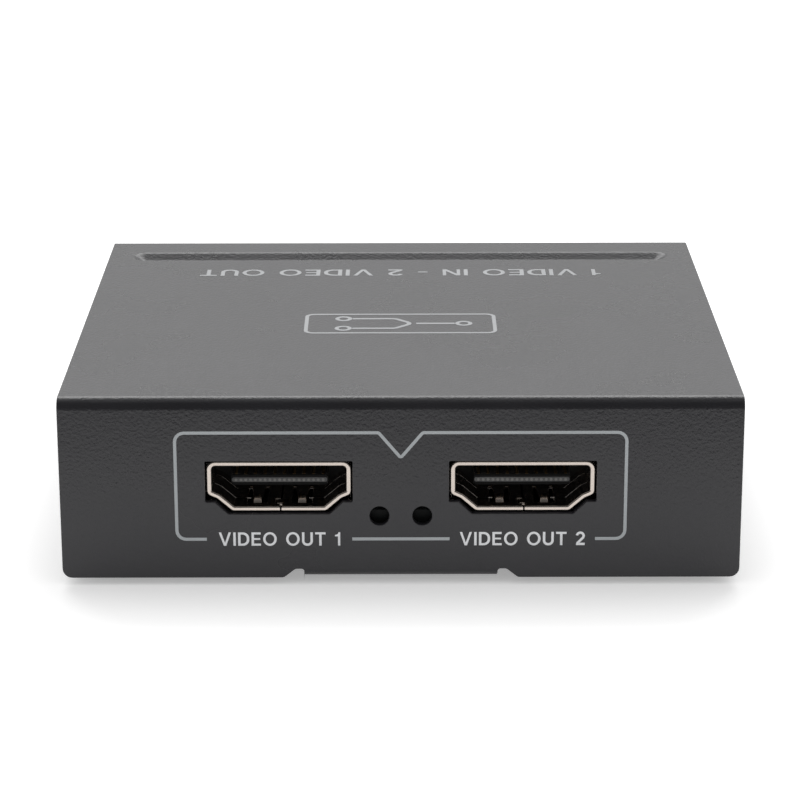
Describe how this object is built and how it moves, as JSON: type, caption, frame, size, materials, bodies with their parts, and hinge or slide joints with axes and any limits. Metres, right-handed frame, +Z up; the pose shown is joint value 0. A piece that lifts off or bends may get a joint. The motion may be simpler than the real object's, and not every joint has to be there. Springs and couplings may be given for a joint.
{
  "type": "hdmi splitter",
  "caption": "Flat folded-steel box that sends one video input to two outputs, with video sockets front and rear and a barrel power jack at the rear.",
  "frame": {"origin": "middle of the whole box, on the plane that the feet stand on", "axes": "+X to the right seen from the front, +Y from the front with the outputs to the rear, +Z up"},
  "size_m": [0.07, 0.0655, 0.0202],
  "materials": {
    "case_paint": "fine-textured dark grey powder coat",
    "black_screw": "black oxide",
    "foot_rubber": "matt",
    "brass_standoff": "turned",
    "plated_screw": "bright zinc",
    "board_laminate": "dark solder mask",
    "port_nickel": "nickel plate",
    "port_moulding": "moulded black",
    "contact_gold": "gold flash",
    "jack_moulding": "moulded black",
    "jack_metal": "nickel plate",
    "chip_resin": "moulded resin",
    "can_metal": "satin",
    "ceramic_body": "fired ceramic",
    "light_lens": "clear resin"
  },
  "bodies": {
    "case": {"top_cover": "case_paint", "base_tray": "case_paint", "cover_screws": "black_screw", "rubber_feet": "foot_rubber", "board_standoffs": "brass_standoff", "board_screws": "plated_screw", "circuit_board": "board_laminate", "out_1_shell": "port_nickel", "out_1_insulator": "port_moulding", "out_1_contacts": "contact_gold", "out_2_shell": "port_nickel", "out_2_insulator": "port_moulding", "out_2_contacts": "contact_gold", "in_shell": "port_nickel", "in_insulator": "port_moulding", "in_contacts": "contact_gold", "jack_housing": "jack_moulding", "jack_centre_pin": "jack_metal", "jack_sleeve_terminal": "jack_metal", "splitter_chip": "chip_resin", "memory_chips": "chip_resin", "surge_arrays": "chip_resin", "voltage_regulators": "chip_resin", "power_inductor": "chip_resin", "clock_crystal": "can_metal", "bulk_capacitors": "can_metal", "ceramic_capacitors": "ceramic_body", "chip_resistors": "chip_resin", "status_lights": "light_lens"},
    "jack_leaf": {"jack_leaf_spring": "jack_metal"}
  },
  "joints": [
    {"name": "jack_leaf_flex", "type": "hinge", "parent": "case", "child": "jack_leaf", "pos_m": [-0.01615, 0.0221, 0.0122], "axis": [0, 0, -1], "range_deg": [0, 5], "stiffness_Nm_per_rad": 0.16}
  ]
}
